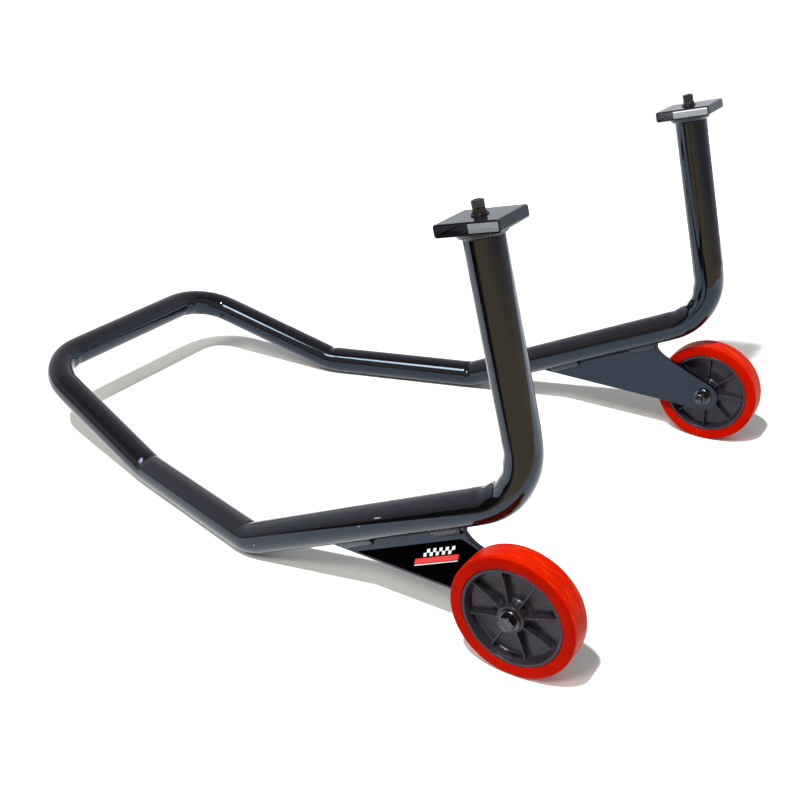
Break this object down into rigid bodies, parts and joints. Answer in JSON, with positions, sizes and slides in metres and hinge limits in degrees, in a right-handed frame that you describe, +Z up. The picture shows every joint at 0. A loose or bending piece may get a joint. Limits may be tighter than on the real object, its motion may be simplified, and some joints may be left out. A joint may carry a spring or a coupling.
{
  "type": "motorcycle paddock stand",
  "caption": "Rear paddock stand: one bent tube frame with a low handle, wheels on welded plates, and open flat sleeves with clamp screws for adapters on its uprights.",
  "frame": {"origin": "on the floor under the middle of the stand's box", "axes": "+X from the handle to the wheels, +Y to the left side, +Z up"},
  "size_m": [0.7505, 0.5194, 0.3866],
  "materials": {
    "frame_paint": "gloss black paint over steel",
    "wheel_tread": "smooth glossy orange-red polyurethane",
    "wheel_core": "satin dark grey nylon",
    "zinc": "black-passivated zinc-plated fasteners",
    "label": "gloss black film"
  },
  "bodies": {
    "frame": {"handle_tube": "frame_paint", "left_side_tube": "frame_paint", "left_bracket": "frame_paint", "left_label": "label", "left_bracket_weld_front_outer": "frame_paint", "left_bracket_weld_front_inner": "frame_paint", "left_bracket_weld_rear_outer": "frame_paint", "left_bracket_weld_rear_inner": "frame_paint", "left_adapter_socket": "frame_paint", "left_socket_weld": "frame_paint", "left_clamp_nut": "zinc", "left_clamp_nut_weld": "frame_paint", "left_axle_bolt": "zinc", "left_axle_nut": "zinc", "left_nut_washer": "zinc", "left_spacer_washer": "zinc", "left_axle_sleeve": "zinc", "left_head_washer": "zinc", "right_side_tube": "frame_paint", "right_bracket": "frame_paint", "right_label": "label", "right_bracket_weld_front_outer": "frame_paint", "right_bracket_weld_front_inner": "frame_paint", "right_bracket_weld_rear_outer": "frame_paint", "right_bracket_weld_rear_inner": "frame_paint", "right_adapter_socket": "frame_paint", "right_socket_weld": "frame_paint", "right_clamp_nut": "zinc", "right_clamp_nut_weld": "frame_paint", "right_axle_bolt": "zinc", "right_axle_nut": "zinc", "right_nut_washer": "zinc", "right_spacer_washer": "zinc", "right_axle_sleeve": "zinc", "right_head_washer": "zinc"},
    "left_wheel": {"left_tyre": "wheel_tread", "left_wheel_core": "wheel_core"},
    "right_wheel": {"right_tyre": "wheel_tread", "right_wheel_core": "wheel_core"},
    "left_screw": {"left_clamp_screw": "zinc"},
    "right_screw": {"right_clamp_screw": "zinc"}
  },
  "joints": [
    {"name": "left_wheel_spin", "type": "hinge", "parent": "frame", "child": "left_wheel", "pos_m": [0.31875, 0.2387, 0.0565], "axis": [0, 1, 0], "continuous": true},
    {"name": "right_wheel_spin", "type": "hinge", "parent": "frame", "child": "right_wheel", "pos_m": [0.31875, -0.2387, 0.0565], "axis": [0, 1, 0], "continuous": true},
    {"name": "left_clamp_screw_travel", "type": "slide", "parent": "frame", "child": "left_screw", "axis": [-0.2174, 0, 0.9761], "range_m": [0, 0.004]},
    {"name": "right_clamp_screw_travel", "type": "slide", "parent": "frame", "child": "right_screw", "axis": [-0.2174, 0, 0.9761], "range_m": [0, 0.004]}
  ]
}
